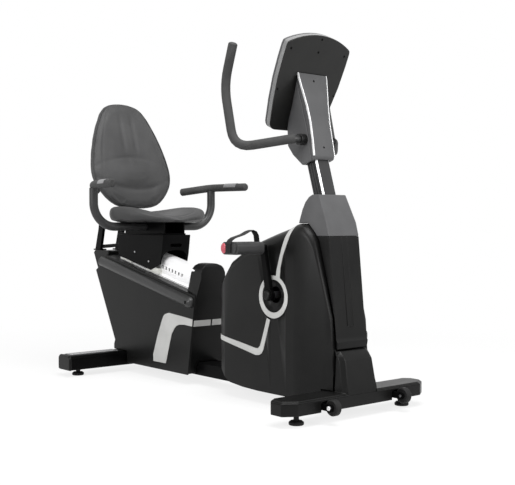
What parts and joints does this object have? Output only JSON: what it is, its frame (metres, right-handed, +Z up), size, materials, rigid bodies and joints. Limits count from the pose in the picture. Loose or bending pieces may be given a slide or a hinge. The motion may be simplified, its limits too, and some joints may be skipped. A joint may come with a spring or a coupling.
{
  "type": "recumbent exercise bike",
  "caption": "Recumbent exercise bike with a padded seat on a sloping rail, enclosed crank drive with strapped pedals, and a console on a leaning post.",
  "frame": {"origin": "on the floor under the middle of the machine's length and width", "axes": "+X ahead of the rider, +Y to the rider's left, +Z up"},
  "size_m": [1.718, 0.74, 1.3146],
  "materials": {
    "frame_paint": "satin black powder coat",
    "housing": "satin moulded black",
    "grey_moulding": "satin moulded dark grey",
    "alloy": "extruded satin",
    "inlay": "satin silver inlay",
    "post_metal": "satin dark grey",
    "bright": "polished",
    "steel": "plain steel",
    "windings": "lacquered copper and iron",
    "black_rubber": "matt black rubber",
    "foam": "textured foam",
    "pedal_plastic": "moulded",
    "vinyl": "grained dark grey vinyl",
    "lens": "dark window",
    "keys": "printed film without print",
    "nylon": "natural nylon"
  },
  "bodies": {
    "frame": {"base_frame": "frame_paint", "rear_stabilizer": "frame_paint", "rear_stabilizer_caps": "housing", "rear_step_strips": "alloy", "front_stabilizer": "frame_paint", "front_base_cover": "housing", "frame_bolts": "steel", "seat_rail": "alloy", "rear_shell_right": "housing", "rear_shell_left": "housing", "rear_front_cover": "housing", "rear_end_cap": "housing", "rear_lift_handle": "frame_paint", "side_mouldings": "housing", "rear_trims": "inlay", "front_shell_right": "housing", "front_shell_left": "housing", "spine_cover": "housing", "spine_cap": "grey_moulding", "front_trims": "inlay", "crank_bearings": "steel", "generator_stator": "windings", "drive_belt": "black_rubber", "console_post": "post_metal", "bracket_front_cover": "grey_moulding", "bracket_rear_cover": "housing", "bracket_trims": "bright", "handlebar": "post_metal", "handlebar_grips": "foam", "console_back": "housing", "console_bezel": "grey_moulding", "display_lens": "lens", "key_membrane": "keys"},
    "crank": {"crank_spindle": "steel", "drive_pulley": "housing", "crank_arm_right": "frame_paint", "crank_arm_left": "frame_paint", "pedal_axles": "steel"},
    "right_pedal": {"pedal_right": "pedal_plastic", "pedal_strap_right": "black_rubber"},
    "left_pedal": {"pedal_left": "pedal_plastic", "pedal_strap_left": "black_rubber"},
    "rotor": {"generator_rotor": "steel"},
    "right_wheel": {"wheel_right": "black_rubber"},
    "left_wheel": {"wheel_left": "black_rubber"},
    "front_right_foot": {"foot_front_right": "black_rubber"},
    "front_left_foot": {"foot_front_left": "black_rubber"},
    "rear_right_foot": {"foot_rear_right": "black_rubber"},
    "rear_left_foot": {"foot_rear_left": "black_rubber"},
    "seat": {"carriage": "frame_paint", "carriage_glides": "nylon", "seat_frame": "frame_paint", "seat_pad": "vinyl", "back_shell": "housing", "back_pad": "vinyl", "arm_bar": "post_metal", "armrest_grips": "foam", "pulse_plates": "bright"},
    "lever": {"latch_lever": "housing"},
    "pin": {"latch_pin": "steel"}
  },
  "joints": [
    {"name": "crank_spin", "type": "hinge", "parent": "frame", "child": "crank", "pos_m": [0.474, 0, 0.396], "axis": [0, 1, 0], "continuous": true},
    {"name": "right_pedal_spin", "type": "hinge", "parent": "crank", "child": "right_pedal", "pos_m": [0.44069, -0.222, 0.5627], "axis": [0, 1, 0], "continuous": true},
    {"name": "left_pedal_spin", "type": "hinge", "parent": "crank", "child": "left_pedal", "pos_m": [0.50731, 0.222, 0.2293], "axis": [0, 1, 0], "continuous": true},
    {"name": "generator_spin", "type": "hinge", "parent": "frame", "child": "rotor", "pos_m": [0.285, 0, 0.25], "axis": [0, 1, 0], "continuous": true},
    {"name": "right_wheel_spin", "type": "hinge", "parent": "frame", "child": "right_wheel", "pos_m": [0.833, -0.169, 0.057], "axis": [0, 1, 0], "continuous": true},
    {"name": "left_wheel_spin", "type": "hinge", "parent": "frame", "child": "left_wheel", "pos_m": [0.833, 0.169, 0.057], "axis": [0, 1, 0], "continuous": true},
    {"name": "seat_slide", "type": "slide", "parent": "frame", "child": "seat", "axis": [0.9781, 0, -0.2079], "range_m": [-0.0705, 0.2115]},
    {"name": "latch_turn", "type": "hinge", "parent": "seat", "child": "lever", "pos_m": [-0.37826, 0.086, 0.51717], "axis": [0.9781, 0, -0.2079], "range_deg": [0, 16], "stiffness_Nm_per_rad": 1.5},
    {"name": "latch_draw", "type": "slide", "parent": "seat", "child": "pin", "axis": [0, 1, 0], "range_m": [0, 0.0115]},
    {"name": "front_right_level", "type": "slide", "parent": "frame", "child": "front_right_foot", "axis": [0, 0, -1], "range_m": [0, 0.012]},
    {"name": "front_left_level", "type": "slide", "parent": "frame", "child": "front_left_foot", "axis": [0, 0, -1], "range_m": [0, 0.012]},
    {"name": "rear_right_level", "type": "slide", "parent": "frame", "child": "rear_right_foot", "axis": [0, 0, -1], "range_m": [0, 0.012]},
    {"name": "rear_left_level", "type": "slide", "parent": "frame", "child": "rear_left_foot", "axis": [0, 0, -1], "range_m": [0, 0.012]}
  ],
  "couplings": [
    {"joint": "generator_spin", "follows": "crank_spin", "ratio": 3.9333},
    {"joint": "latch_draw", "follows": "latch_turn", "m_per_rad": 0.039}
  ]
}
